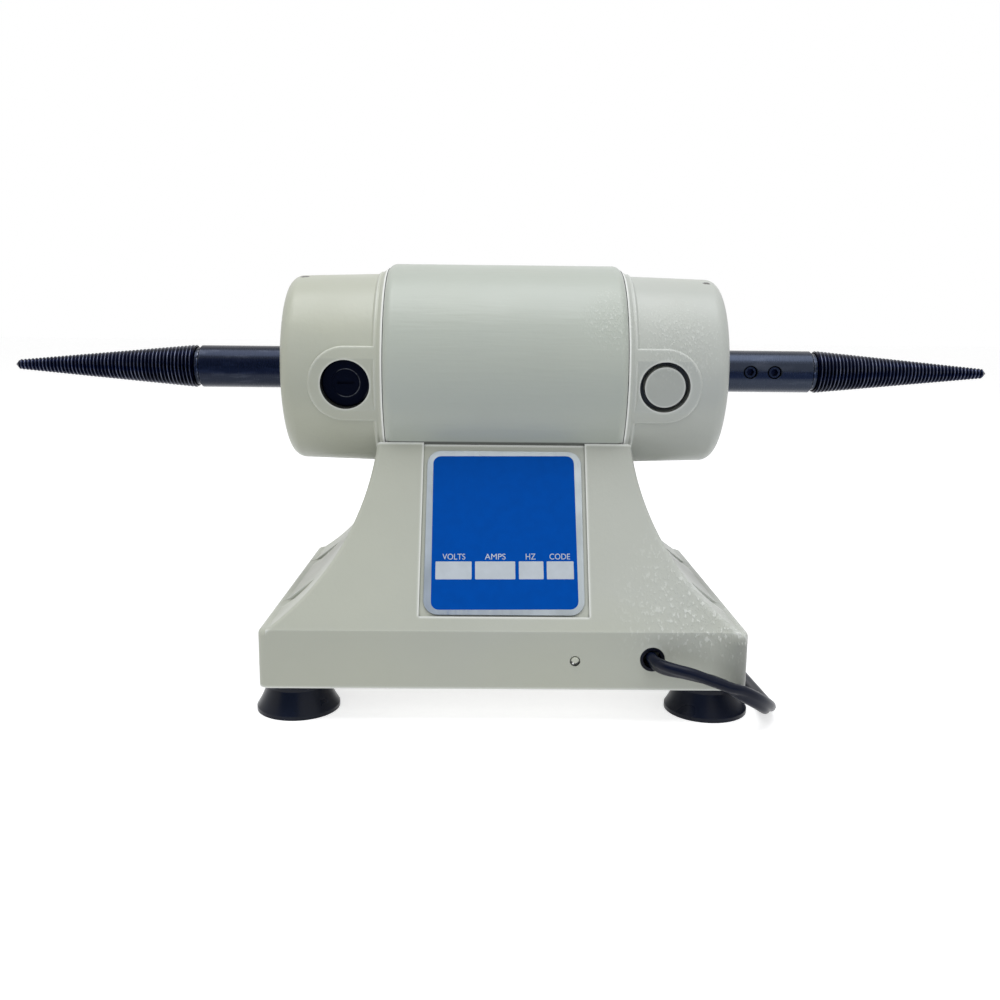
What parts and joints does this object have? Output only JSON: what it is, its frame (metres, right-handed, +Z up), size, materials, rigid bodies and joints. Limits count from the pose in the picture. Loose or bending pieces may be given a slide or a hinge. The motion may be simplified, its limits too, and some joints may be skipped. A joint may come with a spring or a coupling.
{
  "type": "dental polishing lathe",
  "caption": "Bench polishing lathe: a motor on a cast flared pedestal with suction feet, a threaded taper spindle at each end, a speed knob and a rocker switch.",
  "frame": {"origin": "on the bench under the middle of the base, the cord left out", "axes": "+X along the spindles towards the spindle with the set screws that face the back, +Y from the back (plate and cord) to the front (knob and switch), +Z up"},
  "size_m": [0.374, 0.2379, 0.1565],
  "materials": {
    "enamel": "light grey-green enamel with a fine orange peel",
    "nameplate": "blue print on brushed aluminium",
    "zinc_steel": "zinc plated",
    "rubber": "satin black",
    "magnet": "sintered ferrite",
    "bearing_steel": "ground",
    "black_plastic": "moulded, satin",
    "carbon": "pressed carbon",
    "spring_steel": "drawn wire",
    "shaft_steel": "ground",
    "laminations": "stacked sheet steel",
    "copper": "enamelled copper",
    "black_oxide_steel": "blue-black oxide, oiled",
    "control_case": "plated",
    "board": "solder mask",
    "board_parts": "mixed",
    "brass": "nickel-plated brass",
    "cord": "black vinyl, satin"
  },
  "bodies": {
    "root": {"base_casting": "enamel", "motor_shell": "enamel", "left_bell": "enamel", "right_bell": "enamel", "nameplate": "nameplate", "bottom_cover": "zinc_steel", "cover_screws": "zinc_steel", "foot_screws": "zinc_steel", "earth_screw": "zinc_steel", "earth_nut": "zinc_steel", "tie_bolts": "zinc_steel", "motor_screws": "zinc_steel", "board_screws": "zinc_steel", "speed_control_nut": "zinc_steel", "preload_washers": "zinc_steel", "foot_back_left": "rubber", "foot_front_left": "rubber", "foot_back_right": "rubber", "foot_front_right": "rubber", "magnet_back": "magnet", "magnet_front": "magnet", "left_bearing_outer_ring": "bearing_steel", "right_bearing_outer_ring": "bearing_steel", "cord_bushing": "black_plastic", "brush_sleeve_back": "black_plastic", "brush_sleeve_front": "black_plastic", "brush_cap_back": "black_plastic", "brush_cap_front": "black_plastic", "switch_case": "black_plastic", "plug_body": "black_plastic", "brush_spring_back": "spring_steel", "brush_spring_front": "spring_steel", "speed_control": "control_case", "control_board": "board", "board_parts": "board_parts", "board_standoffs": "brass", "switch_terminals": "brass", "plug_pins": "brass", "cord_run": "cord", "cord_coil": "cord", "cord_tail": "cord"},
    "rotor": {"shaft": "shaft_steel", "armature_core": "laminations", "armature_windings": "copper", "commutator": "copper", "left_bearing_inner_ring": "bearing_steel", "right_bearing_inner_ring": "bearing_steel", "left_bearing_balls": "bearing_steel", "right_bearing_balls": "bearing_steel", "left_spindle": "black_oxide_steel", "right_spindle": "black_oxide_steel", "left_set_screws": "black_oxide_steel", "right_set_screws": "black_oxide_steel"},
    "knob": {"speed_control_shaft": "shaft_steel", "speed_knob": "black_plastic"},
    "rocker": {"switch_rocker": "black_plastic"},
    "brush_back": {"brush_back": "carbon"},
    "brush_front": {"brush_front": "carbon"}
  },
  "joints": [
    {"name": "spindle_spin", "type": "hinge", "parent": "root", "child": "rotor", "pos_m": [0, 0, 0.1175], "axis": [1, 0, 0], "continuous": true},
    {"name": "speed_knob_turn", "type": "hinge", "parent": "root", "child": "knob", "pos_m": [0.02, 0.04883, 0.06], "axis": [0, -0.8612, -0.5083], "range_deg": [0, 285]},
    {"name": "switch_rock", "type": "hinge", "parent": "root", "child": "rocker", "pos_m": [-0.024, 0.04668, 0.05873], "axis": [0, -0.5083, 0.8612], "range_deg": [-9, 9]},
    {"name": "brush_back_slide", "type": "slide", "parent": "root", "child": "brush_back", "axis": [0, -0.9921, -0.1253], "range_m": [0, 0.004], "stiffness_N_per_m": 60, "springref_m": -0.01, "deforming": ["brush_spring_back"]},
    {"name": "brush_front_slide", "type": "slide", "parent": "root", "child": "brush_front", "axis": [0, 0.9921, 0.1253], "range_m": [0, 0.004], "stiffness_N_per_m": 60, "springref_m": -0.01, "deforming": ["brush_spring_front"]}
  ]
}
